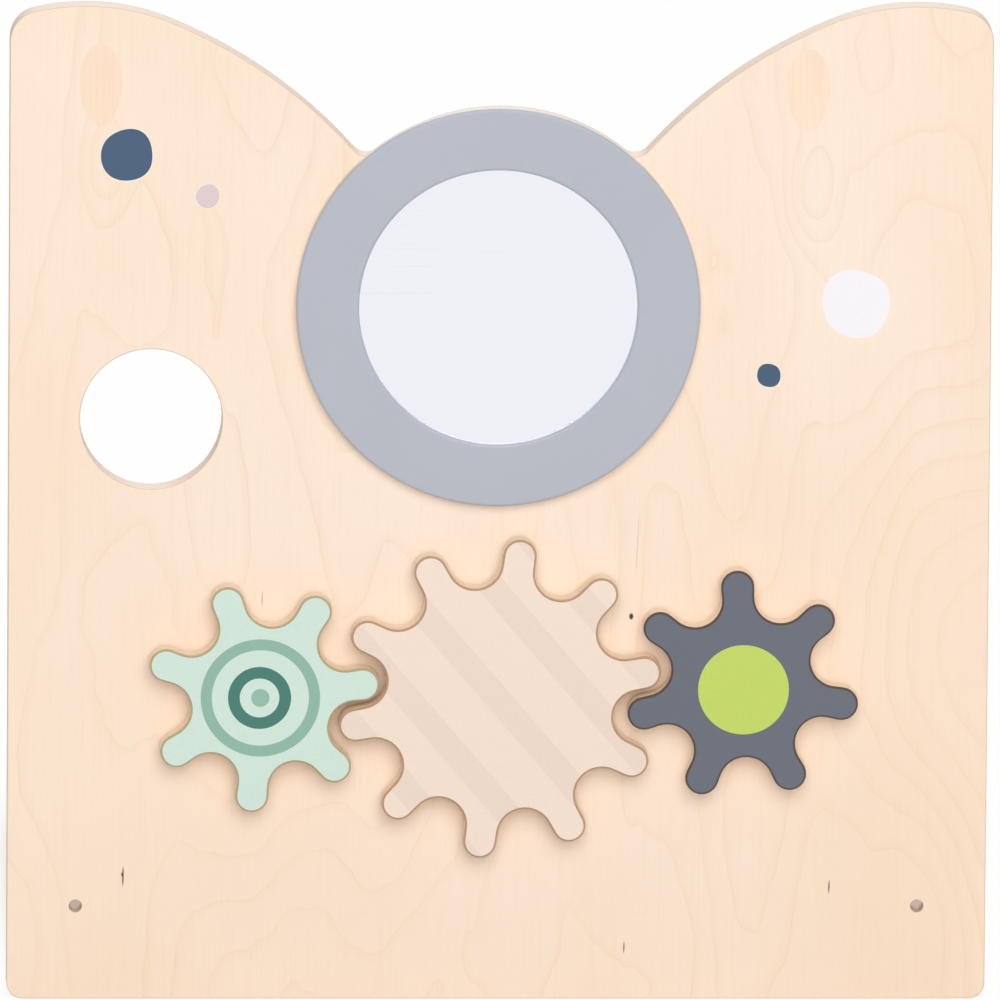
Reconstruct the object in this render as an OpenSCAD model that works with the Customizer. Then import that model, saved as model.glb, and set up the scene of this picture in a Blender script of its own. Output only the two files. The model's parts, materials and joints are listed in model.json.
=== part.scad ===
// Gear activity wall panel: a plywood board with a framed mirror, a peep hole and three meshing play gears.
// The origin is the middle of the line between the two wall fixing holes, on the back face of the board.
// X runs to the right, Z runs up and the play side faces minus Y. All sizes are in millimetres.

/* [Board] */
// Width of the plywood board
panel_w = 600; // [560:1:680]
// Height from the bottom edge to the two peaks
panel_h = 617.5; // [600:0.5:660]
// Thickness of the plywood
panel_t = 18; // [16:0.5:24]
// Radius of the two bottom corners
bottom_corner_r = 10; // [4:1:25]
// Radius of the outer corner beside each peak
top_corner_r = 19; // [10:1:30]
// Distance from the side edge to the top of a peak
peak_in = 46; // [36:1:56]
// Radius of the board's edge over a peak
peak_r = 138; // [110:1:180]
// Angle past the top of a peak where the straighter inner slope begins
peak_turn = 22.4; // [16:0.2:28]
// Radius of the inner slope that runs down to the mirror
slope_r = 306; // [260:1:400]
// Radius of the valley between a slope and the mirror
valley_r = 10.8; // [6:0.2:16]

/* [Wall fixings] */
// Distance between the two fixing holes
fixing_spacing = 516; // [440:1:540]
// Height of the fixing holes above the bottom edge
fixing_up = 58; // [30:1:90]
// Diameter of the fixing holes
fixing_d = 8; // [5:0.5:12]

/* [Peep hole] */
// Diameter of the peep hole
peep_d = 87; // [60:1:110]
// Distance from the left edge to the middle of the peep hole
peep_in = 87; // [75:1:110]
// Distance from the middle of the mirror down to the middle of the peep hole
peep_drop = 70.6; // [40:0.2:110]

/* [Mirror] */
// Outside diameter of the mirror ring
ring_d = 247; // [236:1:260]
// Diameter of the opening in the ring
ring_bore_d = 170; // [140:1:176]
// Thickness of the ring
ring_t = 8; // [7:0.5:18]
// Rounding of the ring's front edges
ring_round = 2; // [0.5:0.1:3]
// Sideways place of the mirror from the middle of the board
ring_x = -1.5; // [-6:0.5:6]
// Distance from the peaks down to the middle of the mirror
ring_drop = 185.5; // [170:0.5:200]
// How far the ring stands out past the board's rim above it
ring_overhang = 2.5; // [1:0.5:6]
// Thickness of the mirror
mirror_t = 3; // [2:0.5:4]
// Width of the mirror's rim hidden behind the ring
mirror_lip = 8; // [4:0.5:12]
// Thickness of the foam pad behind the mirror
pad_t = 1; // [0.5:0.5:2]
// Distance from the mirror's edge in to the edge of the pad
pad_in = 3; // [1:0.5:10]
// Number of screws that hold the ring
ring_screw_count = 6; // [4:1:8]
// Shank diameter of a ring screw
screw_d = 4; // [3:0.5:5]
// Head diameter of a ring screw
screw_head_d = 8; // [6:0.5:9]
// Thickness of the ring left in front of a screw's hole
screw_cover = 1.4; // [0.8:0.1:2.5]
// Depth of a screw head below the back of the board
screw_sink = 0.5; // [0.3:0.1:2]

/* [Gears] */
// Pitch diameter of a gear for each of its teeth
gear_module = 17.3; // [17:0.1:18]
// Sideways place of the centre gear from the middle of the board
gear_x = 0.8; // [-10:0.2:10]
// Gap between the mirror ring and the tips of the centre gear
gear_gap = 18.2; // [8:0.2:40]
// Height of the left gear above the centre gear
left_rise = 1.2; // [-20:0.2:20]
// Height of the right gear above the centre gear
right_rise = 7.8; // [-20:0.2:20]
// How much nearer the left gear sits than its pitch circle asks
left_nearer = 1.6; // [-2:0.1:2]
// How much nearer the right gear sits than its pitch circle asks
right_nearer = -1.2; // [-2:0.1:2]
// Teeth on the left and right gears
small_teeth = 7; // [6:1:8]
// Teeth on the centre gear
large_teeth = 10; // [9:1:11]
// Radius of the round tooth tips
tip_r = 10.2; // [8.5:0.1:10.4]
// Radius of the round gaps between the teeth
gap_r = 16.4; // [16:0.1:17]
// How far a tip's middle stands outside the pitch circle on the small gears
small_tip_out = 1.4; // [0:0.1:1.8]
// How far a tip's middle stands outside the pitch circle on the centre gear
large_tip_out = 3.2; // [0:0.1:3.6]
// Thickness of a gear with its printed face
gear_t = 15; // [14:0.5:18]
// Thickness of the printed face
face_t = 0.8; // [0.4:0.1:1.2]
// Width of the eased wood edge round the printed face
edge_ease = 0.8; // [0.4:0.1:1.5]
// Turn of the centre gear, with a tooth to the right at zero
centre_turn = 10.5; // [0:0.5:36]
// Turn of the small gears away from the middle of their tooth play
play_turn = -2.3; // [-3:0.1:3]

/* [Axles] */
// Diameter of the axle bolts
axle_d = 8; // [6:0.5:8]
// Head diameter of the axle bolts
head_d = 14; // [12:0.5:16]
// Head height of the axle bolts
head_h = 4.4; // [3.5:0.1:5]
// Width across the corners of the hexagon socket
socket_d = 5.8; // [4.5:0.1:6.5]
// Depth of the hexagon socket
socket_depth = 2.6; // [1.5:0.1:3]
// Diameter of the washers
washer_d = 17; // [16:0.5:20]
// Thickness of the washers
washer_t = 1.6; // [1:0.1:2]
// Outside diameter of the threaded inserts
insert_d = 12; // [10.5:0.5:14]
// Length of the threaded inserts
insert_len = 11.5; // [8:0.5:12]
// Outside diameter of the bush sleeves
bush_d = 12; // [10.5:0.5:14]
// Diameter of the bush flanges
flange_d = 20; // [16:0.5:24]
// Thickness of the rear bush's flange
rear_flange_t = 1.5; // [1:0.1:2]
// Thickness of the front bush's flange, which spaces the gear off the board
front_flange_t = 1.5; // [1:0.1:4]
// Diameter of the pocket in the back of the board
pocket_d = 28; // [26:0.5:36]
// Thickness of the cover caps
cap_t = 2; // [1.5:0.1:3]
// Thickness of a cap's skirt
skirt_t = 1.4; // [1:0.1:1.8]
// Length of a cap's skirt
skirt_len = 3.5; // [2:0.5:4]

/* [Clearances] */
// Radial clearance of a running fit
run_fit = 0.05; // [0.02:0.01:0.1]
// Radial clearance of a seated fit
seat_fit = 0.05; // [0.02:0.01:0.1]
// End play between a turning face and a fixed face
end_play = 0.3; // [0.2:0.1:0.6]
// Room between an axle's head and its cap
cap_room = 0.7; // [0.4:0.1:2]
// Room round the mirror inside its rebate
mirror_room = 0.5; // [0.2:0.1:1]
// Room past the end of a blind part
blind_room = 0.6; // [0.3:0.1:1]

/* [Hidden] */

$fn = 96;
// Straight steps in one arc of an outline
arc_steps = 12;
tooth_steps = 16;
// How far a cut runs past the face it opens
cut = 1;

// Heights above the fixing holes
bottom_z = -fixing_up;
peak_z = panel_h - fixing_up;
ring_z = peak_z - ring_drop;
peep_at = [peep_in - panel_w / 2, ring_z - peep_drop];

// Arc middles along the right half of the board's top edge
peak_c = [panel_w / 2 - peak_in, peak_z - peak_r];
slope_c = peak_c + (peak_r - slope_r) * [-sin(peak_turn), cos(peak_turn)];
corner_x = panel_w / 2 - top_corner_r;
corner_c = [corner_x, peak_c.y + sqrt(pow(peak_r - top_corner_r, 2) - pow(corner_x - peak_c.x, 2))];
rim_c = [0, ring_z];
ring_c = [ring_x, ring_z];
rim_r = ring_d / 2 - ring_overhang;
valley_c = outer_touch(rim_c, rim_r + valley_r, slope_c, slope_r + valley_r);

// Mirror seat
mirror_d = ring_bore_d + 2 * mirror_lip;
rebate_d = mirror_d + 2 * mirror_room;
rebate_t = mirror_t + pad_t;
screw_circle_r = (rebate_d + ring_d) / 4;
screw_len = panel_t + ring_t - screw_cover - blind_room - screw_sink;
screw_head_t = (screw_head_d - screw_d) / 2;

// Gear sizes
small_pitch_r = gear_module * small_teeth / 2;
large_pitch_r = gear_module * large_teeth / 2;
left_distance = small_pitch_r + large_pitch_r - left_nearer;
right_distance = small_pitch_r + large_pitch_r - right_nearer;
core_t = gear_t - face_t;
large_tip_reach = large_pitch_r + large_tip_out + tip_r;
centre_at = [gear_x, ring_z - ring_d / 2 - gear_gap - large_tip_reach];
left_at = centre_at + [-sqrt(pow(left_distance, 2) - pow(left_rise, 2)), left_rise];
right_at = centre_at + [sqrt(pow(right_distance, 2) - pow(right_rise, 2)), right_rise];

// Depths from the back of the board towards the play side
head_at = cap_t + cap_room;
washer_at = head_at + head_h;
rear_flange_at = washer_at + washer_t + end_play;
pocket_depth = rear_flange_at + rear_flange_t;
sleeve_len = (panel_t - pocket_depth - blind_room) / 2;
gear_at = panel_t + front_flange_t + end_play;

// Colours
birch = [0.976, 0.890, 0.800];
birch_edge = [0.930, 0.800, 0.660];
grey_paint = [0.722, 0.737, 0.772];
silvered = [0.937, 0.937, 0.969];
foam = [0.25, 0.25, 0.27];
mint = [0.823, 0.906, 0.859];
beige = [0.945, 0.875, 0.816];
charcoal = [0.435, 0.455, 0.498];
zinc = [0.78, 0.80, 0.82];
brass = [0.80, 0.66, 0.36];
nylon = [0.93, 0.92, 0.88];
cap_grey = [0.62, 0.63, 0.65];

// Points along an arc from angle a to angle b
function arc(c, r, a, b, steps) =
    [for (i = [0 : steps]) let (t = a + (b - a) * i / steps) c + r * [cos(t), sin(t)]];

function direction(from, to) = atan2(to.y - from.y, to.x - from.x);

function turned(p, a) = [p.x * cos(a) - p.y * sin(a), p.x * sin(a) + p.y * cos(a)];

// Upper point at distance ra from a and rb from b
function outer_touch(a, ra, b, rb) =
    let (
        d = norm(b - a),
        along = (ra * ra - rb * rb + d * d) / (2 * d),
        away = sqrt(ra * ra - along * along),
        e = (b - a) / d
    )
    a + along * e + away * [-e.y, e.x];

// Right half of the board's edge, from the bottom corner up and over to the middle of the rim
function half_edge() =
    let (
        low_c = [panel_w / 2 - bottom_corner_r, bottom_z + bottom_corner_r],
        corner_end = direction(peak_c, corner_c)
    )
    concat(
        arc(low_c, bottom_corner_r, -90, 0, arc_steps),
        arc(corner_c, top_corner_r, 0, corner_end, arc_steps),
        arc(peak_c, peak_r, corner_end, 90, arc_steps),
        arc(peak_c, peak_r, 90, 90 + peak_turn, arc_steps),
        arc(slope_c, slope_r, 90 + peak_turn, direction(slope_c, valley_c), arc_steps),
        arc(valley_c, valley_r, direction(valley_c, slope_c), direction(valley_c, rim_c), arc_steps),
        arc(rim_c, rim_r, direction(rim_c, valley_c), 90, arc_steps)
    );

// Gear edge of round tips and round gaps joined by straight flanks, drawn in by inset
function gear_edge(teeth, pitch_r, tip_out, inset) =
    let (
        half = 180 / teeth,
        tip_c = [pitch_r + tip_out, 0],
        gap_c = pitch_r * [cos(half), sin(half)],
        lean = direction(tip_c, gap_c) - acos((tip_r + gap_r) / norm(gap_c - tip_c)),
        tooth = concat(
            arc(tip_c, tip_r - inset, -lean, lean, tooth_steps),
            arc(gap_c, gap_r + inset, 180 + lean, 180 - lean + 2 * half, tooth_steps)
        )
    )
    [for (k = [0 : teeth - 1]) for (p = tooth) turned(p, k * 2 * half)];

// Turn of a small gear at this place, with its teeth in the gaps of the centre gear
function mesh_turn(at) =
    let (toward = direction(centre_at, at))
    toward + 180 - 180 / small_teeth - (centre_turn - toward) * large_teeth / small_teeth + play_turn;

// Draws children on the board, x and z in the plane, rising from this depth towards the play side
module from_back(depth) {
    translate([0, -depth, 0]) rotate([90, 0, 0]) children();
}

module disc(at, d, depth, t) {
    from_back(depth) translate([at.x, at.y, 0]) cylinder(d = d, h = t);
}

module washer_ring(at, d, bore, depth, t) {
    difference() {
        disc(at, d, depth, t);
        disc(at, bore, depth - cut, t + 2 * cut);
    }
}

// Countersunk screw or its hole, head at the origin, grown by room
module screw_shape(room, length) {
    cylinder(d = screw_d + 2 * room, h = length);
    cylinder(d1 = screw_head_d + 2 * room, d2 = screw_d + 2 * room, h = screw_head_t);
}

module at_ring_screws() {
    for (k = [0 : ring_screw_count - 1]) {
        a = 360 * k / ring_screw_count;
        translate([ring_c.x + screw_circle_r * cos(a), ring_c.y + screw_circle_r * sin(a), 0]) children();
    }
}

// Screw hole with the head sunk below the back
module screw_hole() {
    translate([0, 0, screw_sink]) screw_shape(seat_fit, screw_len + blind_room);
    translate([0, 0, -cut]) cylinder(d = screw_head_d + 2 * seat_fit, h = screw_sink + cut);
}

module back_panel() {
    edge = half_edge();
    mirrored = [for (i = [len(edge) - 2 : -1 : 0]) [-edge[i].x, edge[i].y]];
    color(birch) difference() {
        from_back(0) linear_extrude(panel_t) polygon(concat(edge, mirrored));
        disc(peep_at, peep_d, -cut, panel_t + 2 * cut);
        for (side = [-1, 1]) {
            disc([side * fixing_spacing / 2, 0], fixing_d, -cut, panel_t + 2 * cut);
        }
        from_back(0) at_ring_screws() screw_hole();
        for (at = [left_at, centre_at, right_at]) {
            disc(at, pocket_d, -cut, pocket_depth + cut);
            disc(at, bush_d + 2 * seat_fit, 0, panel_t + cut);
        }
    }
}

module mirror_ring() {
    inner = ring_bore_d / 2;
    outer = ring_d / 2;
    front = ring_t - ring_round;
    profile = concat(
        [[rebate_d / 2, 0], [outer, 0]],
        arc([outer - ring_round, front], ring_round, 0, 90, arc_steps),
        arc([inner + ring_round, front], ring_round, 90, 180, arc_steps),
        [[inner, rebate_t], [rebate_d / 2, rebate_t]]
    );
    color(grey_paint) difference() {
        from_back(panel_t) translate([ring_c.x, ring_c.y, 0]) rotate_extrude() polygon(profile);
        from_back(0) at_ring_screws() screw_hole();
    }
}

module mirror_disc() {
    color(silvered) disc(ring_c, mirror_d, panel_t + pad_t, mirror_t);
}

module mirror_pad() {
    color(foam) disc(ring_c, mirror_d - 2 * pad_in, panel_t, pad_t);
}

module ring_screws() {
    color(zinc) from_back(screw_sink) at_ring_screws() screw_shape(0, screw_len);
}

module gear_core(at, teeth, pitch_r, tip_out, turn) {
    color(birch_edge) difference() {
        from_back(gear_at) translate([at.x, at.y, 0]) rotate([0, 0, turn])
            linear_extrude(core_t) polygon(gear_edge(teeth, pitch_r, tip_out, 0));
        disc(at, insert_d + 2 * seat_fit, gear_at - cut, insert_len + blind_room + cut);
    }
}

module gear_face(at, teeth, pitch_r, tip_out, turn, colour) {
    color(colour) from_back(gear_at + core_t) translate([at.x, at.y, 0]) rotate([0, 0, turn])
        linear_extrude(face_t) polygon(gear_edge(teeth, pitch_r, tip_out, edge_ease));
}

module threaded_insert(at) {
    color(brass) washer_ring(at, insert_d, axle_d + 2 * seat_fit, gear_at, insert_len);
}

module axle_bolt(at) {
    color(zinc) difference() {
        union() {
            disc(at, head_d, head_at, head_h);
            disc(at, axle_d, washer_at, gear_at + insert_len - washer_at);
        }
        from_back(head_at - cut) translate([at.x, at.y, 0])
            cylinder(d = socket_d, h = socket_depth + cut, $fn = 6);
    }
}

module axle_washer(at) {
    color(zinc) washer_ring(at, washer_d, axle_d + 2 * seat_fit, washer_at, washer_t);
}

module front_bush(at) {
    color(nylon) difference() {
        union() {
            disc(at, flange_d, panel_t, front_flange_t);
            disc(at, bush_d, panel_t - sleeve_len, sleeve_len);
        }
        disc(at, axle_d + 2 * run_fit, 0, panel_t + front_flange_t + cut);
    }
}

module rear_bush(at) {
    color(nylon) difference() {
        union() {
            disc(at, flange_d, rear_flange_at, rear_flange_t);
            disc(at, bush_d, pocket_depth, sleeve_len);
        }
        disc(at, axle_d + 2 * run_fit, 0, panel_t);
    }
}

module cover_cap(at) {
    cap_d = pocket_d - 2 * seat_fit;
    color(cap_grey) difference() {
        disc(at, cap_d, 0, cap_t + skirt_len);
        disc(at, cap_d - 2 * skirt_t, cap_t, skirt_len + cut);
    }
}

module small_core(at) gear_core(at, small_teeth, small_pitch_r, small_tip_out, mesh_turn(at));
module small_face(at, colour) {
    gear_face(at, small_teeth, small_pitch_r, small_tip_out, mesh_turn(at), colour);
}

module left_gear() small_core(left_at);
module left_face() small_face(left_at, mint);
module centre_gear() gear_core(centre_at, large_teeth, large_pitch_r, large_tip_out, centre_turn);
module centre_face() gear_face(centre_at, large_teeth, large_pitch_r, large_tip_out, centre_turn, beige);
module right_gear() small_core(right_at);
module right_face() small_face(right_at, charcoal);

back_panel();
mirror_ring();
mirror_disc();
mirror_pad();
ring_screws();
left_gear();
left_face();
threaded_insert(left_at);  // left_insert
axle_bolt(left_at);  // left_axle
axle_washer(left_at);  // left_washer
front_bush(left_at);  // left_front_bush
rear_bush(left_at);  // left_rear_bush
cover_cap(left_at);  // left_cap
centre_gear();
centre_face();
threaded_insert(centre_at);  // centre_insert
axle_bolt(centre_at);  // centre_axle
axle_washer(centre_at);  // centre_washer
front_bush(centre_at);  // centre_front_bush
rear_bush(centre_at);  // centre_rear_bush
cover_cap(centre_at);  // centre_cap
right_gear();
right_face();
threaded_insert(right_at);  // right_insert
axle_bolt(right_at);  // right_axle
axle_washer(right_at);  // right_washer
front_bush(right_at);  // right_front_bush
rear_bush(right_at);  // right_rear_bush
cover_cap(right_at);  // right_cap
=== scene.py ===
import json
import math

import bmesh
import bpy
from mathutils import Matrix, Vector


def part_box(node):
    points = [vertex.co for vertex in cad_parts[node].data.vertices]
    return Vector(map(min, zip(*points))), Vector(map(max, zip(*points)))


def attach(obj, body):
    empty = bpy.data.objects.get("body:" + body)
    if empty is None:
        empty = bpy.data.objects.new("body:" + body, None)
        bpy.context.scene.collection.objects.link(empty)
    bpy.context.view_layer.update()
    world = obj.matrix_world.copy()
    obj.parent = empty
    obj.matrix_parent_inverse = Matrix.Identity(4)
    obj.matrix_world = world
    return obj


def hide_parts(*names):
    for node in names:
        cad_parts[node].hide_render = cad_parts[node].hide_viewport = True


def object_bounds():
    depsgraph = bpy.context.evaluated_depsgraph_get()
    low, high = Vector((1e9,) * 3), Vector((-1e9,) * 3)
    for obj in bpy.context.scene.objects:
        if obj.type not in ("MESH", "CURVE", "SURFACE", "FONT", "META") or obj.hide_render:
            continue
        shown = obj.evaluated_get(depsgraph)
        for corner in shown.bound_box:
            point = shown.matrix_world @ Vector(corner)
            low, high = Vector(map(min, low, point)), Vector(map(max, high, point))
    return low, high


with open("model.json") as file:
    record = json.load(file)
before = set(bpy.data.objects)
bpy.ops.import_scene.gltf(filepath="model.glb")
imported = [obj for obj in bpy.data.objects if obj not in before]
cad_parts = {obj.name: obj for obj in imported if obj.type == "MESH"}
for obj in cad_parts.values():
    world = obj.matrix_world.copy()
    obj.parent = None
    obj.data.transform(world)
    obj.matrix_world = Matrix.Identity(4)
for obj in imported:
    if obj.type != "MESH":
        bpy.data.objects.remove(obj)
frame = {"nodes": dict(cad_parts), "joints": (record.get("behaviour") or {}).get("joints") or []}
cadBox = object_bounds()
gearAt = {joint["child"]: Vector(joint["pos_m"]) for joint in frame["joints"]}


# Small helpers

mmPerMetre = 1000
meshWork = {"weld": 0.001, "near": 0.01, "flat": 0.2, "crisp": 40, "rim": 45,  # mm, mm, then degrees
            "level": 0.99, "upright": 0.05}  # how far a normal points along the depth


def mm(value):
    return value / mmPerMetre


def direction(azimuth, elevation):
    # From the object towards a camera or lamp, in degrees, where 0 and 0 is straight in front
    turn, lift = math.radians(azimuth), math.radians(elevation)
    return Vector((math.sin(turn) * math.cos(lift), -math.cos(turn) * math.cos(lift), math.sin(lift)))


def linear(hexText):
    # sRGB hex to linear colour with alpha
    parts = [int(hexText[i:i + 2], 16) / 255 for i in (0, 2, 4)]
    return tuple(c / 12.92 if c <= 0.04045 else ((c + 0.055) / 1.055) ** 2.4 for c in parts) + (1.0,)


def addNode(tree, kind, inputs=None, **settings):
    # A value is a number or colour, a socket, or a node whose first live output is linked
    node = tree.nodes.new(kind)
    for key, value in settings.items():
        setattr(node, key, value)
    for key, value in (inputs or {}).items():
        if isinstance(value, bpy.types.Node):
            value = next(out for out in value.outputs if out.enabled)
        if isinstance(value, bpy.types.NodeSocket):
            tree.links.new(value, node.inputs[key])
        else:
            node.inputs[key].default_value = value
    return node


def mottle(tree, place, sizes, detail=2.0, shift=0.0):
    # Random pattern whose spots are about this long in mm along each axis
    spread = addNode(tree, "ShaderNodeMapping", {
        "Vector": place, "Location": (shift, -shift, shift),
        "Scale": tuple(mmPerMetre / s for s in sizes)})
    return addNode(tree, "ShaderNodeTexNoise", {"Vector": spread, "Scale": 1.0, "Detail": detail})


def layColours(tree, ground, coats):
    # Lays coats of colour over a ground one after the other, each by its own amount
    colour = linear(ground)
    for amount, coat in coats:
        mix = addNode(tree, "ShaderNodeMix", {0: amount, 6: colour, 7: linear(coat)}, data_type="RGBA")
        colour = mix.outputs[2]
    return colour


def startMaterial(name, **sockets):
    material = bpy.data.materials.new(name)
    material.use_nodes = True
    tree = material.node_tree
    tree.nodes.clear()
    shader = addNode(tree, "ShaderNodeBsdfPrincipled", sockets)
    addNode(tree, "ShaderNodeOutputMaterial", {"Surface": shader})
    place = addNode(tree, "ShaderNodeTexCoord").outputs["Object"]
    return material, tree, shader, place


def colourAndBump(tree, shader, colour, height, strength, depth):
    # Links the colour and a bump of this depth in mm
    bump = addNode(tree, "ShaderNodeBump", {"Height": height, "Strength": strength, "Distance": mm(depth)})
    tree.links.new(colour, shader.inputs["Base Color"])
    tree.links.new(bump.outputs[0], shader.inputs["Normal"])


def finishPiece(bm, name, body, materials, replaced=()):
    # Writes the mesh, shades it smooth with crisp corners and lets it ride on its body
    for face in bm.faces:
        face.smooth = True
    for edge in bm.edges:
        edge.smooth = edge.calc_face_angle(0) < math.radians(meshWork["crisp"])
    mesh = bpy.data.meshes.new(name)
    bm.to_mesh(mesh)
    bm.free()
    piece = bpy.data.objects.new(name, mesh)
    bpy.context.scene.collection.objects.link(piece)
    for material in materials:
        mesh.materials.append(material)
    weighted = piece.modifiers.new("flatFaces", "WEIGHTED_NORMAL")
    weighted.keep_sharp = True
    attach(piece, body)
    if replaced:
        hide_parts(*replaced)


def cadCopy(node):
    # Copy of a CAD solid with its loose triangles merged into whole faces
    bm = bmesh.new()
    bm.from_mesh(frame["nodes"][node].data)
    bmesh.ops.remove_doubles(bm, verts=bm.verts, dist=mm(meshWork["weld"]))
    bmesh.ops.dissolve_limit(bm, angle_limit=math.radians(meshWork["flat"]), verts=bm.verts, edges=bm.edges)
    return bm


def easeRims(bm, width, segments, chosen):
    # Rounds the sharp rims that the test picks
    sharp = math.radians(meshWork["rim"])
    rims = [e for e in bm.edges if e.calc_face_angle(0) > sharp and chosen(e)]
    bmesh.ops.bevel(bm, geom=rims, offset=width, offset_type="OFFSET", segments=segments,
                    profile=0.5, affect="EDGES", material=-1, clamp_overlap=True)


def liesAt(edge, depth):
    middle = (edge.verts[0].co.y + edge.verts[1].co.y) / 2
    return abs(middle - depth) < mm(meshWork["near"])


# Camera at the photograph's viewing angle

photoView = {
    "target": (0.00055, -0.018, 0.25325),  # point in the middle of the frame, metres
    "azimuth": -2.04,  # degrees, as are the next two
    "elevation": 10.8,
    "roll": 0.41,
    "distance": 18.0,  # metres
    "pixelsPerMetre": 1636.0,
    "imagePixels": 1000,
    "sensor": 36.0,  # mm
    "farLimit": 200,  # metres
}


def placeCamera(view):
    azimuth, roll = math.radians(view["azimuth"]), math.radians(view["roll"])
    back = direction(view["azimuth"], view["elevation"])
    side = Vector((math.cos(azimuth), math.sin(azimuth), 0))
    turn = Matrix((side, back.cross(side), back)).transposed() @ Matrix.Rotation(roll, 3, "Z")
    lens = bpy.data.cameras.new("photoCamera")
    lens.sensor_width = view["sensor"]
    lens.lens = view["sensor"] * view["pixelsPerMetre"] * view["distance"] / view["imagePixels"]
    lens.clip_end = view["farLimit"]
    camera = bpy.data.objects.new("photoCamera", lens)
    away = Matrix.Translation(Vector(view["target"]) + back * view["distance"])
    camera.matrix_world = away @ turn.to_4x4()
    bpy.context.scene.collection.objects.link(camera)
    bpy.context.scene.camera = camera


placeCamera(photoView)
print("camera placed")


# Birch veneer, rotary cut under clear matt lacquer: pale cream with thin honey contour lines

veneerLook = {
    "ground": "FAE7D5",
    "warm": "F8DFC6",
    "line": "E9C49B",
    "fleck": "DDB78E",
    "mark": "40200E",
    "figureSize": (110, 50, 280),  # mm
    "figureRise": 9.0,  # growth rings
    "ringWidth": 70,  # mm between lines on plain wood
    "waveSize": (16, 40, 34),
    "waveRise": 0.35,
    "leastSlope": 0.004,  # growth rings a mm, so that lines on flat wood stay finite
    "lineHalf": 1.3,  # mm
    "lineStrength": 0.22,
    "lineFaintest": 0.06,
    "strengthSize": (40, 40, 90),
    "strengthRange": (0.35, 0.65),  # of the pattern's values, and likewise below
    "fadeWidth": 7.0,  # mm of slowly darkening late wood before a line
    "fadeStrength": 0.11,
    "fibreSize": (1.6, 1.6, 70),
    "fibreRange": (0.5, 0.8),
    "fibreShare": 0.13,
    "fleckSize": (0.6, 0.6, 7),
    "fleckRange": (0.6, 0.85),
    "fleckShare": 0.14,
    "toneSize": (130, 60, 260),
    "toneRange": (0.35, 0.7),
    "toneShare": 0.6,
    "lowPaintedShade": (160, -70),  # heights in mm between which painted shade makes the board darker and warmer towards its foot
    "lowShadeShare": 0.48,
    "sideWarmth": (200, 310),  # distances from the middle between which the board grows warmer
    "sideShare": 0.4,
    "markCore": 0.45,  # share of a mark that is fully dark
    # How far each pattern is shifted, so that no two of them agree
    "shifts": {"figure": 0.0, "wave": 3.7, "strength": 9.1, "tone": 5.3, "fibre": 1.9, "fleck": 2.6},
}
# Oval veneer patches, middle x and z, and half width and half height, mm
patches = {
    "left": {"at": (-244.6, 510.3), "half": (12.9, 25.5)},
    "right": {"at": (187.1, 507.7), "half": (13.2, 25.5)},
}
# Hills in the growth rings: round the knots under the patches, at the right edge and at the lower left
hills = [
    {"at": (-242.0, 461.0), "half": (24, 52), "rise": 2.0},
    {"at": (189.0, 443.0), "half": (27, 54), "rise": 2.4},
    {"at": (309.0, 172.0), "half": (150, 200), "rise": 5.0},
    {"at": (-153.0, -64.0), "half": (150, 210), "rise": 4.0},
]
# Dark pin knot and mineral streaks, middle x and z, half width and half length, turn in degrees, mm
veneerMarks = [
    {"at": (81.4, 180.8), "half": (1.7, 2.6), "turn": 0, "depth": 1.0},
    {"at": (85.0, 226.0), "half": (0.5, 24.0), "turn": 2.4, "depth": 0.2},
    {"at": (-228.9, 18.5), "half": (0.7, 8.0), "turn": 1, "depth": 0.9},
    {"at": (-229.3, 19.6), "half": (0.9, 1.7), "turn": 0, "depth": 0.9},
    {"at": (204.0, 12.0), "half": (0.6, 5.5), "turn": 2, "depth": 0.85},
    {"at": (78.5, -26.0), "half": (0.6, 4.5), "turn": 1, "depth": 0.8},
    {"at": (-144.5, 191.5), "half": (0.5, 6.5), "turn": 2, "depth": 0.42},
]


def ovalReach(tree, place, at, half, turn=0.0):
    # 0 in the middle of an oval on the board's face and 1 on its rim, the same at any depth
    endless = 1000  # half length through the board, metres
    centred = addNode(tree, "ShaderNodeMapping", {
        "Vector": place, "Location": (mm(at[0]), 0, mm(at[1])), "Rotation": (0, math.radians(turn), 0),
        "Scale": (mm(half[0]), endless, mm(half[1]))}, vector_type="TEXTURE")
    return addNode(tree, "ShaderNodeVectorMath", {0: centred}, operation="LENGTH").outputs["Value"]


def ringDepth(tree, place, look, seed, swells):
    # Depth in growth rings under the knife
    across = addNode(tree, "ShaderNodeSeparateXYZ", {0: place}).outputs["X"]
    rings = addNode(tree, "ShaderNodeMath", {0: across, 1: mmPerMetre / look["ringWidth"]},
                    operation="MULTIPLY")
    for kind in ("figure", "wave"):
        swell = mottle(tree, place, look[kind + "Size"], detail=1.0, shift=seed + look["shifts"][kind])
        rings = addNode(tree, "ShaderNodeMath", {0: swell, 1: look[kind + "Rise"], 2: rings},
                        operation="MULTIPLY_ADD")
    for hill in swells:
        reach = ovalReach(tree, place, hill["at"], hill["half"])
        swell = addNode(tree, "ShaderNodeMapRange", {"Value": reach, "To Min": hill["rise"], "To Max": 0.0},
                        interpolation_type="SMOOTHSTEP")
        rings = addNode(tree, "ShaderNodeMath", {0: rings, 1: swell}, operation="ADD")
    return rings


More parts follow.
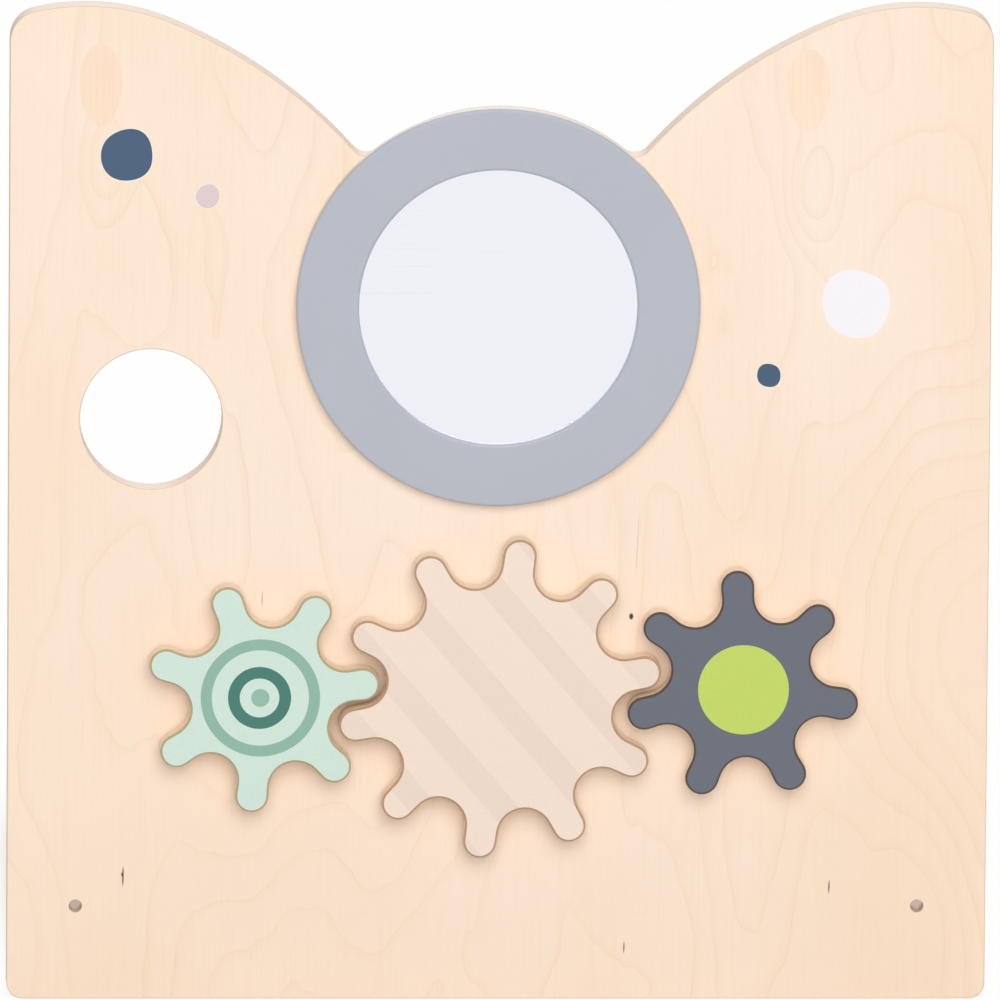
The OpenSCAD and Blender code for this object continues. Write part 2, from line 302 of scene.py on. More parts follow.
def contourLines(tree, place, look, seed, swells):
    # Lines between the rings and the late wood before them, kept to one width by the slope of the ring
    # depth over a millimetre
    rings = ringDepth(tree, place, look, seed, swells)
    slopes = []
    for step in ((mm(1), 0, 0), (0, 0, mm(1))):
        beside = addNode(tree, "ShaderNodeVectorMath", {0: place, 1: step}, operation="ADD")
        further = ringDepth(tree, beside.outputs[0], look, seed, swells)
        slopes.append(addNode(tree, "ShaderNodeMath", {0: further, 1: rings}, operation="SUBTRACT"))
    slope = addNode(tree, "ShaderNodeCombineXYZ", {0: slopes[0], 1: slopes[1], 2: look["leastSlope"]})
    slope = addNode(tree, "ShaderNodeVectorMath", {0: slope}, operation="LENGTH").outputs["Value"]
    apart = addNode(tree, "ShaderNodeMath", {0: rings, 1: 0.5}, operation="PINGPONG")
    apart = addNode(tree, "ShaderNodeMath", {0: apart, 1: slope}, operation="DIVIDE")
    lines = addNode(tree, "ShaderNodeMapRange", {
        "Value": apart, "From Max": look["lineHalf"], "To Min": 1.0, "To Max": 0.0},
        interpolation_type="SMOOTHSTEP")
    before = addNode(tree, "ShaderNodeMath", {0: rings}, operation="FRACT")
    before = addNode(tree, "ShaderNodeMath", {0: before, 1: slope}, operation="DIVIDE")
    late = addNode(tree, "ShaderNodeMapRange", {
        "Value": before, "From Max": look["fadeWidth"], "To Min": look["fadeStrength"], "To Max": 0.0})
    return lines, late


def woodWarmthAndPaintedShade(tree, place, look, clouds):
    # Warmer in broad clouds and towards its sides; low on the board, painted shade makes it darker and
    # warmer towards its foot
    axes = addNode(tree, "ShaderNodeSeparateXYZ", {0: place}).outputs
    # Painted shade: the light falling off towards the board's foot is painted into its colour
    low = addNode(tree, "ShaderNodeMapRange", {
        "Value": axes["Z"], "From Min": mm(look["lowPaintedShade"][0]), "From Max": mm(look["lowPaintedShade"][1]),
        "To Max": look["lowShadeShare"]})
    pale, warm = look["toneRange"]
    tone = addNode(tree, "ShaderNodeMapRange", {
        "Value": clouds, "From Min": pale, "From Max": warm, "To Max": look["toneShare"]})
    off = addNode(tree, "ShaderNodeMath", {0: axes["X"]}, operation="ABSOLUTE")
    side = addNode(tree, "ShaderNodeMapRange", {
        "Value": off, "From Min": mm(look["sideWarmth"][0]), "From Max": mm(look["sideWarmth"][1]),
        "To Max": look["sideShare"]})
    edges = addNode(tree, "ShaderNodeMath", {0: side, 1: low}, operation="ADD")
    return addNode(tree, "ShaderNodeMath", {0: tone, 1: edges}, operation="ADD", use_clamp=True)


def birchVeneer(name, look, seed, marks=(), swells=()):
    material, tree, shader, place = startMaterial(name, Roughness=0.55, IOR=1.5)

    def grain(kind, detail):
        return mottle(tree, place, look[kind + "Size"], detail, seed + look["shifts"][kind])

    lines, late = contourLines(tree, place, look, seed, swells)
    faint, clear = look["strengthRange"]
    strength = addNode(tree, "ShaderNodeMapRange", {
        "Value": grain("strength", 1.0), "From Min": faint, "From Max": clear,
        "To Min": look["lineFaintest"], "To Max": look["lineStrength"]})
    lines = addNode(tree, "ShaderNodeMath", {0: lines, 1: strength}, operation="MULTIPLY")
    warmthAndPaintedShade = woodWarmthAndPaintedShade(tree, place, look, grain("tone", 2.0))
    # The warm colour stands for the wood's own tone, and low on the board for painted shade
    coats = [(warmthAndPaintedShade, look["warm"]), (late, look["line"]), (lines, look["line"])]
    pores = grain("fleck", 1.0)
    for kind, pattern, ink in (("fibre", grain("fibre", 2.0), "line"), ("fleck", pores, "fleck")):
        none, full = look[kind + "Range"]
        amount = addNode(tree, "ShaderNodeMapRange", {
            "Value": pattern, "From Min": none, "From Max": full, "To Max": look[kind + "Share"]})
        coats.append((amount, look[ink]))
    for mark in marks:
        reach = ovalReach(tree, place, mark["at"], mark["half"], mark["turn"])
        amount = addNode(tree, "ShaderNodeMapRange", {
            "Value": reach, "From Min": look["markCore"], "To Min": mark["depth"], "To Max": 0.0},
            interpolation_type="SMOOTHSTEP")
        coats.append((amount, look["mark"]))
    colour = layColours(tree, look["ground"], coats)
    colourAndBump(tree, shader, colour, pores, strength=0.06, depth=0.1)
    return material


# Milled edges of birch plywood: pale long grain and browner end grain layers with thin glue lines
# The board's edge is sanded and lacquered, the gears' edge is raw and warm, and one outer ply is darker

plyLooks = {
    "board": {"name": "lacqueredPlywoodEdge", "longGrain": "ECDACC", "endGrain": "E0CCBB", "glue": "D3BDA8",
              "darkPly": "BDA28B", "darkPlyAt": (-1.4, 0)},  # mm of depth
    "gear": {"longGrain": "FAE7D0", "endGrain": "F4D8B8", "glue": "DEBA8F", "darkPlyAt": (-34.1, -33.2)},
}
plyBuild = {"layer": 1.4, "glueLine": 0.12, "glueShare": 0.5, "poreSize": (0.5, 0.3, 0.5),
            "poreShare": 0.35, "streakSize": (25, 1.4, 25)}  # mm, shares


def plywoodEdge(look, build):
    material, tree, shader, place = startMaterial(look["name"], Roughness=0.65, IOR=1.5)
    depth = addNode(tree, "ShaderNodeSeparateXYZ", {0: place}).outputs["Y"]
    layers = addNode(tree, "ShaderNodeMath", {0: depth, 1: mmPerMetre / build["layer"]},
                     operation="MULTIPLY")
    which = addNode(tree, "ShaderNodeMath", {0: layers, 1: 2.0}, operation="FLOORED_MODULO")
    end = addNode(tree, "ShaderNodeMath", {0: which, 1: 1.0}, operation="GREATER_THAN")
    pores = mottle(tree, place, build["poreSize"])
    streaks = mottle(tree, place, build["streakSize"])
    shade = addNode(tree, "ShaderNodeMath", {0: end, 1: streaks}, operation="MULTIPLY")
    shade = addNode(tree, "ShaderNodeMath", {0: pores, 1: build["poreShare"], 2: shade},
                    operation="MULTIPLY_ADD")
    apart = addNode(tree, "ShaderNodeMath", {0: layers, 1: 0.5}, operation="PINGPONG")
    glue = addNode(tree, "ShaderNodeMapRange", {
        "Value": apart, "From Max": build["glueLine"] / build["layer"], "To Min": build["glueShare"],
        "To Max": 0.0})
    back, front = look["darkPlyAt"]
    darkPly = addNode(tree, "ShaderNodeMath", {0: depth, 1: mm(back + front) / 2, 2: mm(front - back) / 2},
                      operation="COMPARE")
    colour = layColours(tree, look["longGrain"], [
        (shade, look["endGrain"]), (glue, look["glue"]), (darkPly, look["darkPly"])])
    colourAndBump(tree, shader, colour, pores, strength=0.1, depth=0.1)
    return material


# Edges worked by a cutter: the board's arris, darkened with painted shade like the gears' back rims, the
# ring's pale outer wall, and the laminates' cores

rimLooks = {
    # Painted shade: the arris colour is darker than the wood to stand for the shade on rounded rims and
    # behind the gears
    "arris": {"name": "birchArrisPaintedShade", "pale": "EED5B9", "dark": "E2C3A0", "streakSize": (6, 2, 6)},
    "outerWall": {"name": "paleRingWall", "pale": "E8DCD0", "dark": "DFD2C5", "streakSize": (8, 1, 8)},
    "left": {"name": "oliveLaminateCore", "pale": "BCAF86", "dark": "A6986E", "streakSize": (4, 1, 4)},
    "centre": {"name": "tanLaminateCore", "pale": "C39E7A", "dark": "AE8762", "streakSize": (4, 1, 4)},
    "right": {"name": "darkLaminateCore", "pale": "57463E", "dark": "453630", "streakSize": (4, 1, 4)},
}


def cutRim(look):
    material, tree, shader, place = startMaterial(look["name"], Roughness=0.6, IOR=1.5)
    streaks = mottle(tree, place, look["streakSize"])
    colour = layColours(tree, look["pale"], [(streaks, look["dark"])])
    colourAndBump(tree, shader, colour, streaks, strength=0.05, depth=0.1)
    return material


boardVeneer = birchVeneer("birchVeneerMattLacquer", veneerLook, 0.0, veneerMarks, hills)
boardEdge = plywoodEdge(plyLooks["board"], plyBuild)
cutRims = {key: cutRim(look) for key, look in rimLooks.items()}


# Plywood board with eased rims

boardShape = {"ease": 0.6, "holeEase": 0.18, "longRim": 1.0, "steps": 3}  # mm


def makeBoard(shape):
    bm = cadCopy("back_panel")
    low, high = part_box("back_panel")

    def onFace(edge):
        return liesAt(edge, low.y) or liesAt(edge, high.y)

    # The rims of small holes are cut into shorter edges, so they are eased less
    longRim = mm(shape["longRim"])
    easeRims(bm, mm(shape["holeEase"]), shape["steps"], lambda e: onFace(e) and e.calc_length() < longRim)
    easeRims(bm, mm(shape["ease"]), shape["steps"], lambda e: onFace(e) and e.calc_length() >= longRim)
    for face in bm.faces:
        facing = abs(face.normal.y)
        if facing > meshWork["level"]:
            face.material_index = 0
        else:
            face.material_index = 1 if facing < meshWork["upright"] else 2
    # The eased rims take the arris colour, which is painted shade
    boardFinishes = [boardVeneer, boardEdge, cutRims["arris"]]
    finishPiece(bm, "board", "panel", boardFinishes, ["back_panel"])


makeBoard(boardShape)
print("board made")


# Oval birch patches let into the face ply

patchShape = {"proud": 0.02, "depth": 0.4, "taper": 0.07, "corners": 64, "seed": 20.0, "seedStep": 7.0}  # mm
patchLook = dict(veneerLook, ground="FAE2CB", warm="F9DBC0", line="E3BC92", figureSize=(20, 40, 120),
                 figureRise=2.0, ringWidth=5, waveRise=0.2, lineStrength=0.1, fadeStrength=0.0,
                 toneSize=(10, 40, 50), lowPaintedShade=(0, -70))


def onBoard(x, z, proud):
    # Point in front of the board's face, from mm on it
    return Vector((mm(x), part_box("back_panel")[0].y - mm(proud), mm(z)))


def raisedOutline(bm, at, proud, depth, corners, reach, materialIndex=0):
    # Flat plate whose rim lies at reach(angle) mm from its middle, standing proud of the board
    older = set(bm.faces)
    made = bmesh.ops.create_circle(bm, cap_ends=True, segments=corners, radius=1)
    for i, vert in enumerate(made["verts"]):
        across, up = reach(2 * math.pi * i / corners)
        vert.co = onBoard(at[0] + across, at[1] + up, proud)
    rim = bmesh.ops.extrude_face_region(bm, geom=made["verts"][0].link_faces[:])
    moved = [v for v in rim["geom"] if isinstance(v, bmesh.types.BMVert)]
    bmesh.ops.translate(bm, verts=moved, vec=(0, mm(proud + depth), 0))
    bmesh.ops.recalc_face_normals(bm, faces=bm.faces)
    for face in bm.faces:
        if face not in older:
            face.material_index = materialIndex


def makePatches(shape):
    for i, (side, patch) in enumerate(patches.items()):
        half = patch["half"]
        bm = bmesh.new()
        raisedOutline(bm, patch["at"], shape["proud"], shape["depth"], shape["corners"], lambda a: (
            half[0] * math.cos(a) * (1 + shape["taper"] * math.sin(a)), half[1] * math.sin(a)))
        seed = shape["seed"] + shape["seedStep"] * i
        grain = birchVeneer("birchPatch" + side.title(), patchLook, seed)
        finishPiece(bm, side + "VeneerPatch", "panel", [grain])


makePatches(patchShape)


# Printed dots: thick screen ink over a white underprint that shows as a fine rim

dotShape = {"proud": 0.08, "underProud": 0.05, "depth": 0.05, "rim": 0.35, "corners": 72}  # mm
# Middle, mean radius and lumps as (waves round the rim, height, turn in degrees), mm
dots = {
    "navyDot": {"at": (-228.4, 467.2), "r": 16.1, "lumps": [(2, 0.36, 56), (3, 0.32, -51), (4, 0.31, -36)],
                "ink": "375270"},
    "pinkDot": {"at": (-179.1, 441.8), "r": 7.36, "lumps": [(2, 0.18, 58), (3, 0.14, 59)], "ink": "DDC9CB"},
    "whiteDot": {"at": (217.3, 375.3), "r": 20.8, "lumps": [(2, 0.49, -53), (3, 0.40, 21), (4, 0.43, 37)],
                 "ink": "F4F2F5"},
    "smallNavyDot": {"at": (164.35, 330.85), "r": 7.34, "lumps": [(2, 0.19, -51), (4, 0.16, 38)],
                     "ink": "35506B"},
}
inkLook = {"underprint": "FBF3EA", "meshSize": (1.2, 1.2, 1.2), "light": 1.06, "dark": 0.94}  # mm, shares


def screenInk(name, hexText):
    # Screen printed ink, dried matt: even colour with a slight mottle from the mesh
    material, tree, shader, place = startMaterial(name, Roughness=0.5, IOR=1.5)
    mesh = mottle(tree, place, inkLook["meshSize"])
    light = tuple(min(1.0, c * inkLook["light"]) for c in linear(hexText)[:3]) + (1.0,)
    dark = tuple(c * inkLook["dark"] for c in linear(hexText)[:3]) + (1.0,)
    mix = addNode(tree, "ShaderNodeMix", {0: mesh, 6: dark, 7: light}, data_type="RGBA")
    colourAndBump(tree, shader, mix.outputs[2], mesh, strength=0.05, depth=0.05)
    return material


def makeDots(shape):
    underprint = screenInk("whiteUnderprint", inkLook["underprint"])
    for name, dot in dots.items():
        def rimAt(angle, grown):
            reach = dot["r"] + grown
            for waves, height, turn in dot["lumps"]:
                reach += height * math.cos(waves * (angle - math.radians(turn)))
            return reach * math.cos(angle), reach * math.sin(angle)

        bm = bmesh.new()
        raisedOutline(bm, dot["at"], shape["underProud"], shape["depth"], shape["corners"],
                      lambda a: rimAt(a, shape["rim"]), 0)
        raisedOutline(bm, dot["at"], shape["proud"], shape["depth"], shape["corners"],
                      lambda a: rimAt(a, 0.0), 1)
        finishPiece(bm, name, "panel", [underprint, screenInk(name + "Ink", dot["ink"])])


makeDots(dotShape)
print("patches and dots made")


# Mirror ring of fibreboard, satin sprayed on its face and bore, and pale on its outer wall

ringShape = {"round": 2.0, "roundSteps": 5, "lip": 8.0, "room": 0.5, "turns": 192, "wallBand": 1.0,
             "wallTilt": 0.02}  # mm, and how far the outer wall's normal may point along the depth
ringPaint = {"light": "B5B9C3", "dark": "B0B4BE", "peelSize": (1.1, 1.1, 1.1), "cloudSize": (60, 60, 60)}


def satinPaint(name, look):
    # Sprayed satin lacquer: even colour, soft gloss and a faint orange peel
    material, tree, shader, place = startMaterial(name, Roughness=0.42, IOR=1.5)
    clouds = mottle(tree, place, look["cloudSize"])
    colour = layColours(tree, look["dark"], [(clouds, look["light"])])
    peel = mottle(tree, place, look["peelSize"], detail=1.0)
    colourAndBump(tree, shader, colour, peel, strength=0.06, depth=0.1)
    return material


def makeRing(shape):
    low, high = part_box("mirror_ring")
    mirrorLow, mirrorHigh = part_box("mirror_disc")
    middle = (low + high) / 2
    outer = (high.x - low.x) / 2
    mirror = (mirrorHigh.x - mirrorLow.x) / 2
    bore, rebate = mirror - mm(shape["lip"]), mirror + mm(shape["room"])
    bm = bmesh.new()
    profile = [(rebate, high.y), (outer, high.y), (outer, low.y), (bore, low.y),
               (bore, mirrorLow.y), (rebate, mirrorLow.y)]
    corners = [bm.verts.new((middle.x + r, y, middle.z)) for r, y in profile]
    for i, corner in enumerate(corners):
        bm.edges.new((corner, corners[i - 1]))
    bmesh.ops.spin(bm, geom=bm.verts[:] + bm.edges[:], cent=middle, axis=(0, 1, 0),
                   angle=2 * math.pi, steps=shape["turns"], use_merge=True)
    bmesh.ops.remove_doubles(bm, verts=bm.verts, dist=mm(meshWork["weld"]))
    bmesh.ops.recalc_face_normals(bm, faces=bm.faces)
    easeRims(bm, mm(shape["round"]), shape["roundSteps"], lambda e: liesAt(e, low.y))
    for face in bm.faces:
        spot = face.calc_center_median() - middle
        far = math.hypot(spot.x, spot.z) > outer - mm(shape["wallBand"])
        outside = far and abs(face.normal.y) < shape["wallTilt"]
        face.material_index = 1 if outside else 0
    paint = satinPaint("satinGreyPaint", ringPaint)
    finishPiece(bm, "mirrorRing", "panel", [paint, cutRims["outerWall"]], ["mirror_ring"])


makeRing(ringShape)


# Silvered acrylic mirror with faint ripples of its film on one side

mirrorLook = {"silver": "F0F0F8", "ripple": "EBEBF4", "rippleSize": (70, 5, 1.8), "rippleAt": (-50, 405),
              "rippleHalf": (75, 70), "rippleRange": (0.66, 0.82), "rippleCore": 0.3}  # mm, shares


def silveredAcrylic(name, look):
    material, tree, shader, place = startMaterial(name, Metallic=1.0, Roughness=0.03)
    ripples = mottle(tree, place, look["rippleSize"], detail=1.0)
    low, high = look["rippleRange"]
    thin = addNode(tree, "ShaderNodeMapRange", {"Value": ripples, "From Min": low, "From Max": high})
    reach = ovalReach(tree, place, look["rippleAt"], look["rippleHalf"])
    near = addNode(tree, "ShaderNodeMapRange", {
        "Value": reach, "From Min": look["rippleCore"], "To Min": 1.0, "To Max": 0.0})
    amount = addNode(tree, "ShaderNodeMath", {0: thin, 1: near}, operation="MULTIPLY")
    colour = layColours(tree, look["silver"], [(amount, look["ripple"])])
    tree.links.new(colour, shader.inputs["Base Color"])
    return material


def dressNode(node, material):
    # CAD solid kept as it is, with a finish of its own
    solid = frame["nodes"][node]
    if solid.material_slots:
        solid.material_slots[0].material = material
    else:
        solid.data.materials.append(material)


dressNode("mirror_disc", silveredAcrylic("silveredAcrylic", mirrorLook))
print("mirror and ring made")


# Play gears: plywood cores with eased rims under printed laminate

gearShape = {"ease": 0.6, "easeSteps": 3, "laminateEase": 0.5, "laminateSteps": 2, "boreReach": 20,
             "printed": 0.97}  # mm, and how far a printed face's normal points to the front
laminateLook = {"grainSize": (0.7, 0.7, 0.7), "grainRange": (0.3, 0.7), "shade": (0.97, 1.03)}  # mm, shares
# Offset of a print from the axle, rings by inner and outer radius, ink and shift, and places of stripes, mm
gearPrints = {
    "left": {"name": "mintLaminate", "slot": "mint_laminate", "ground": "CFE4D8", "off": (-1.1, -0.4),
             "bands": [(29.7, 36.5, "8AB5A1", 0.0), (12.1, 19.3, "367567", -0.5),
                       (0.0, 5.6, "8FBAA6", 0.0)]},
    "centre": {"name": "beigeLaminate", "slot": "beige_laminate", "ground": "F3DFCF", "off": (0.0, 0.0),
               "slant": 49.5, "stripeWidth": 15.6, "stripe": "ECD8C8",
               "stripes": (-79.3, -42.4, -0.8, 41.5, 78.3)},
    "right": {"name": "charcoalLaminate", "slot": "charcoal_laminate", "ground": "5F6571",
              "off": (0.95, -1.85), "bands": [(0.0, 27.8, "C1D55F", 0.0)]},
}


def printedLaminate(look, middle):
    # Pressed laminate with a printed sheet: matt, very fine texture, crisp print edges
    material, tree, shader, place = startMaterial(look["name"], Roughness=0.45, IOR=1.5)
    centred = addNode(tree, "ShaderNodeMapping", {
        "Vector": place, "Location": (-middle.x - mm(look["off"][0]), 0, -middle.z - mm(look["off"][1])),
        "Scale": (1, 0, 1)})
    coats = []
    for inner, outer, ink, shift in look.get("bands", ()):
        away = addNode(tree, "ShaderNodeVectorMath", {0: centred, 1: (mm(shift), 0, 0)},
                       operation="DISTANCE").outputs["Value"]
        band = addNode(tree, "ShaderNodeMath", {0: away, 1: mm(inner + outer) / 2, 2: mm(outer - inner) / 2},
                       operation="COMPARE")
        coats.append((band, ink))
    slant = math.radians(look.get("slant", 0))
    along = addNode(tree, "ShaderNodeVectorMath", {0: centred, 1: (math.sin(slant), 0, math.cos(slant))},
                    operation="DOT_PRODUCT").outputs["Value"]
    for at in look.get("stripes", ()):
        band = addNode(tree, "ShaderNodeMath", {0: along, 1: mm(at), 2: mm(look["stripeWidth"]) / 2},
                       operation="COMPARE")
        coats.append((band, look["stripe"]))
    colour = layColours(tree, look["ground"], coats)
    grain = mottle(tree, place, laminateLook["grainSize"])
    low, high = laminateLook["grainRange"]
    dark, light = laminateLook["shade"]
    shade = addNode(tree, "ShaderNodeMapRange", {
        "Value": grain, "From Min": low, "From Max": high, "To Min": dark, "To Max": light})
    shaded = addNode(tree, "ShaderNodeVectorMath", {0: colour, 1: shade}, operation="MULTIPLY")
    colourAndBump(tree, shader, shaded.outputs[0], grain, strength=0.06, depth=0.05)
    return material


def makeGears(shape):
    for side, look in gearPrints.items():
        body = side + "_gear"
        middle = gearAt[body]

        def onRim(edge, depth):
            spot = (edge.verts[0].co + edge.verts[1].co) / 2 - middle
            far = math.hypot(spot.x, spot.z) > mm(shape["boreReach"])
            return far and liesAt(edge, depth)

        low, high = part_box(body)
        core = cadCopy(body)
        easeRims(core, mm(shape["ease"]), shape["easeSteps"],
                 lambda e: onRim(e, low.y) or onRim(e, high.y))
        # The back rim's ease takes the arris colour: painted shade of the gap between gear and board
        for face in core.faces:
            eased = meshWork["upright"] < face.normal.y < meshWork["level"]
            face.material_index = 1 if eased else 0
        edgeLook = dict(plyLooks["gear"], name=side + "RawPlywoodEdge", darkPly=rimLooks[side]["pale"])
        coreFinishes = [plywoodEdge(edgeLook, plyBuild), cutRims["arris"]]
        finishPiece(core, side + "GearCore", body, coreFinishes, [body])

        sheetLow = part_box(side + "_face")[0]
        sheet = cadCopy(side + "_face")
        easeRims(sheet, mm(shape["laminateEase"]), shape["laminateSteps"], lambda e: onRim(e, sheetLow.y))
        for face in sheet.faces:
            face.material_index = 0 if face.normal.y < -shape["printed"] else 1
        finishPiece(sheet, side + "GearLaminate", body, [printedLaminate(look, middle), cutRims[side]],
                    [side + "_face"])


makeGears(gearShape)
print("gears made")


# Fasteners and covers at the back, and the bearings inside

hardware = {
    "zinc": {"name": "zincPlatedSteel", "light": "CDD1D5", "dark": "AEB4BA",
             "metallic": 1.0, "roughness": 0.32, "grit": 0.6},
    "brass": {"name": "turnedBrass", "light": "D9BA72", "dark": "BF9A50",
              "metallic": 1.0, "roughness": 0.3, "grit": 0.5},
    "nylon": {"name": "naturalNylon", "light": "F0EDE3", "dark": "E6E2D6",
              "metallic": 0.0, "roughness": 0.5, "grit": 1.0},
    "foam": {"name": "closedCellFoam", "light": "4A4A4E", "dark": "343438",
             "metallic": 0.0, "roughness": 0.9, "grit": 0.8},
    "cap": {"name": "mouldedGreyPlastic", "light": "A5A7AB", "dark": "999BA0",
            "metallic": 0.0, "roughness": 0.5, "grit": 0.7},
}
capShape = {"ease": 0.5, "steps": 3}  # mm
screwShape = {"head": 4.0, "shank": 2.0, "lobe": 1.55, "lobeWave": 0.25, "lobes": 6, "recess": 1.5,
              "recessTaper": 0.85, "edge": 0.15, "point": 0.2, "corners": 48}  # mm


def fineGrit(look):
    # One finish for small parts: light and dark spots at grit size in mm, with a matching bump
    material, tree, shader, place = startMaterial(
        look["name"], Metallic=look["metallic"], Roughness=look["roughness"], IOR=1.5)
    grit = mottle(tree, place, [look["grit"]] * 3, detail=3.0)
    colour = layColours(tree, look["dark"], [(grit, look["light"])])
    colourAndBump(tree, shader, colour, grit, strength=0.08, depth=0.05)
    return material


finishes = {key: fineGrit(look) for key, look in hardware.items()}


def screwCentres():
    # Middles of the separate screws in their shared CAD node, told apart to the millimetre
    copy = cadCopy("ring_screws")
    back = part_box("ring_screws")[1].y
    heads = {}
    for face in copy.faces:
        spot = face.calc_center_median()
        if face.normal.y > meshWork["level"] and abs(spot.y - back) < mm(meshWork["near"]):
            heads.setdefault((round(spot.x, 3), round(spot.z, 3)), spot.copy())
    copy.free()
    return list(heads.values())


def makeScrews(shape):
    low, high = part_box("ring_screws")
    lobed, head, shank, edge, point = (mm(shape[k]) for k in ("lobe", "head", "shank", "edge", "point"))
    # Radius, depth and lobes of each loop from the bottom of the recess out over the head and down the shank
    loops = [
        (lobed * shape["recessTaper"], high.y - mm(shape["recess"]), shape["lobeWave"]),
        (lobed, high.y, shape["lobeWave"]),
        (head - edge, high.y, 0),
        (head, high.y - edge, 0),
        (shank, high.y - (head - shank), 0),
        (shank, low.y + shank, 0),
        (point, low.y, 0),
    ]
    bm = bmesh.new()
    for spot in screwCentres():
        loop = bmesh.ops.create_circle(bm, cap_ends=True, segments=shape["corners"], radius=1)["verts"]
        edges = list({e for v in loop for e in v.link_edges})
        angles = [math.atan2(v.co.y, v.co.x) for v in loop]
        for i, (radius, depth, lobeWave) in enumerate(loops):
            if i:
                grown = bmesh.ops.extrude_edge_only(bm, edges=edges)["geom"]
                loop = [v for v in grown if isinstance(v, bmesh.types.BMVert)]
                edges = [e for e in grown if isinstance(e, bmesh.types.BMEdge) and e.is_boundary]
                angles = [math.atan2(v.co.z - spot.z, v.co.x - spot.x) for v in loop]
            for vert, angle in zip(loop, angles):
                reach = radius * (1 + lobeWave * math.cos(shape["lobes"] * angle))
                vert.co = (spot.x + reach * math.cos(angle), depth, spot.z + reach * math.sin(angle))
        bmesh.ops.contextual_create(bm, geom=edges)
    bmesh.ops.recalc_face_normals(bm, faces=bm.faces)
    finishPiece(bm, "ringScrews", "panel", [finishes["zinc"]], ["ring_screws"])


def makeCaps(shape):
    for side in gearPrints:
        node = side + "_cap"
        bm = cadCopy(node)
        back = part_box(node)[1].y
        easeRims(bm, mm(shape["ease"]), shape["steps"], lambda e: liesAt(e, back))
        finishPiece(bm, side + "Cap", "panel", [finishes["cap"]], [node])


makeScrews(screwShape)
makeCaps(capShape)
dressNode("mirror_pad", finishes["foam"])
for side in gearPrints:
    dressNode(side + "_insert", finishes["brass"])
    dressNode(side + "_axle", finishes["zinc"])
    dressNode(side + "_washer", finishes["zinc"])
    dressNode(side + "_front_bush", finishes["nylon"])
    dressNode(side + "_rear_bush", finishes["nylon"])
print("fasteners made")


# Soft studio: pale floor, a dome dim at the low back, a wide lamp in front and one behind

studio = {
    "floorColour": "DADADA",
    "floorSize": 60.0,  # metres
    "floorWhite": 0.985,  # share of plain white that the eye sees outside the shade
    "shadeColourWithPaintedBounce": "D0BFB1",  # as seen in the board's shade, with warm bounce light from the wood painted in
    "shadeSides": (0.272, 0.306),  # from full shade to none, metres from the middle
    "shadeBack": (0.31, 0.7),  # the same behind the board
    "shadeFoot": (-0.004, -0.018),  # and under its foot
    "dome": 0.4,  # strength on the bright side
    "domeBack": 0.1,  # and on the dim one
    "domeFade": (-0.2, 0.3),  # from dim to bright along the next direction
    "domeFront": (0, -0.6, 0.8),  # direction of the dome's bright side
    "aim": (0, 0, 0.42),  # where the lamps point, metres
}
# Degrees, metres and watts
lamps = {
    "frontLamp": {"kind": "AREA", "elevation": 25, "azimuth": 3, "distance": 10.0,
                  "settings": {"energy": 660, "shape": "DISK", "size": 9.0}},
    "backLamp": {"kind": "AREA", "elevation": 48, "azimuth": 180, "distance": 5.0,
                 "settings": {"energy": 138, "shape": "DISK", "size": 3.0}},
}


def seenRays(tree):
    # 1 for rays of the camera, and for those by way of metal or glass
    rays = addNode(tree, "ShaderNodeLightPath").outputs
    seen = addNode(tree, "ShaderNodeMath", {0: rays["Is Camera Ray"], 1: rays["Is Glossy Ray"]},
                   operation="MAXIMUM")
    return addNode(tree, "ShaderNodeMath", {0: seen, 1: rays["Is Transmission Ray"]}, operation="MAXIMUM")


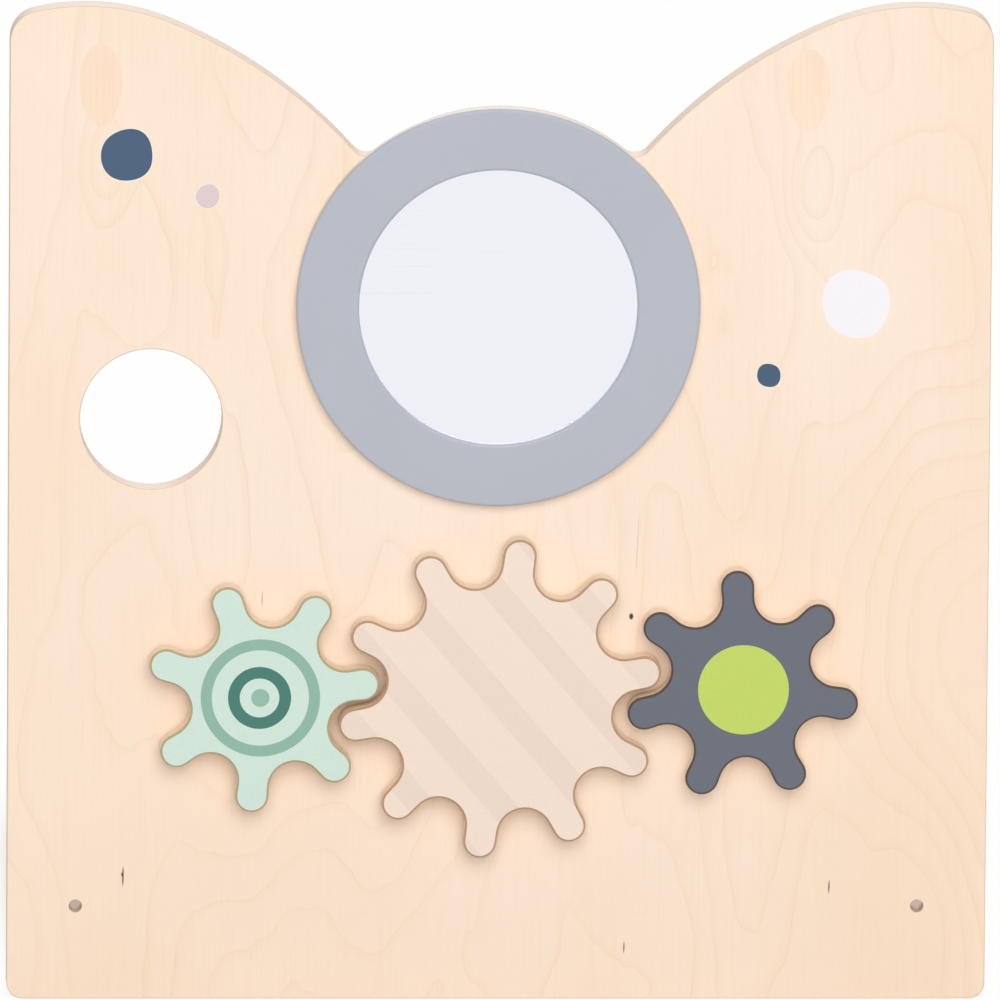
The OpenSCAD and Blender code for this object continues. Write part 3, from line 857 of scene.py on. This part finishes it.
def paleFloor(look):
    material = bpy.data.materials.new("paleFloor")
    material.cycles.emission_sampling = "NONE"  # its white is for the eye and lights nothing
    material.use_nodes = True
    tree = material.node_tree
    tree.nodes.clear()
    place = addNode(tree, "ShaderNodeTexCoord").outputs["Object"]
    axes = addNode(tree, "ShaderNodeSeparateXYZ", {0: place}).outputs
    off = addNode(tree, "ShaderNodeMath", {0: axes["X"]}, operation="ABSOLUTE")
    shade = 1.0
    for value, key in ((off, "shadeSides"), (axes["Y"], "shadeBack"), (axes["Y"], "shadeFoot")):
        full, gone = look[key]
        fade = addNode(tree, "ShaderNodeMapRange", {
            "Value": value, "From Min": full, "From Max": gone, "To Min": 1.0, "To Max": 0.0},
            interpolation_type="SMOOTHSTEP")
        shade = addNode(tree, "ShaderNodeMath", {0: shade, 1: fade}, operation="MULTIPLY")
    away = addNode(tree, "ShaderNodeMapRange", {"Value": shade, "To Min": look["floorWhite"], "To Max": 0.0})
    seen = seenRays(tree)
    share = addNode(tree, "ShaderNodeMath", {0: seen, 1: away}, operation="MULTIPLY")
    # The eye sees the floor tinted warm: painted bounce light from the wood
    colour = layColours(tree, look["floorColour"], [(seen, look["shadeColourWithPaintedBounce"])])
    matt = addNode(tree, "ShaderNodeBsdfDiffuse", {"Color": colour})
    white = addNode(tree, "ShaderNodeEmission", {"Color": (1, 1, 1, 1), "Strength": 1.0})
    mixed = addNode(tree, "ShaderNodeMixShader", {0: share, 1: matt, 2: white})
    addNode(tree, "ShaderNodeOutputMaterial", {"Surface": mixed})
    return material


def makeFloor(look):
    bm = bmesh.new()
    bmesh.ops.create_grid(bm, x_segments=1, y_segments=1, size=look["floorSize"] / 2)
    bmesh.ops.translate(bm, verts=bm.verts, vec=(0, 0, cadBox[0].z))
    mesh = bpy.data.meshes.new("floor")
    bm.to_mesh(mesh)
    bm.free()
    mesh.materials.append(paleFloor(look))
    floor = bpy.data.objects.new("floor", mesh)
    bpy.context.scene.collection.objects.link(floor)


def makeDome(look):
    world = bpy.data.worlds.new("dome")
    world.use_nodes = True
    tree = world.node_tree
    tree.nodes.clear()
    toward = addNode(tree, "ShaderNodeTexCoord").outputs["Generated"]
    front = addNode(tree, "ShaderNodeVectorMath", {0: toward, 1: look["domeFront"]}, operation="DOT_PRODUCT")
    dim, bright = look["domeFade"]
    glow = addNode(tree, "ShaderNodeMapRange", {
        "Value": front.outputs["Value"], "From Min": dim, "From Max": bright, "To Min": look["domeBack"],
        "To Max": look["dome"]}, interpolation_type="SMOOTHSTEP")
    strength = addNode(tree, "ShaderNodeMapRange", {"Value": seenRays(tree), "To Min": glow, "To Max": 1.0})
    sky = addNode(tree, "ShaderNodeBackground", {"Color": (1, 1, 1, 1), "Strength": strength})
    addNode(tree, "ShaderNodeOutputWorld", {"Surface": sky})
    bpy.context.scene.world = world


def placeLamps(look):
    for name, lamp in lamps.items():
        light = bpy.data.lights.new(name, lamp["kind"])
        for key, value in lamp["settings"].items():
            setattr(light, key, value)
        toward = direction(lamp["azimuth"], lamp["elevation"])
        holder = bpy.data.objects.new(name, light)
        holder.location = Vector(look["aim"]) + toward * lamp["distance"]
        holder.rotation_euler = toward.to_track_quat("Z", "Y").to_euler()
        bpy.context.scene.collection.objects.link(holder)


bpy.context.scene.view_settings.view_transform = "Standard"
makeFloor(studio)
makeDome(studio)
placeLamps(studio)
print("studio lit")
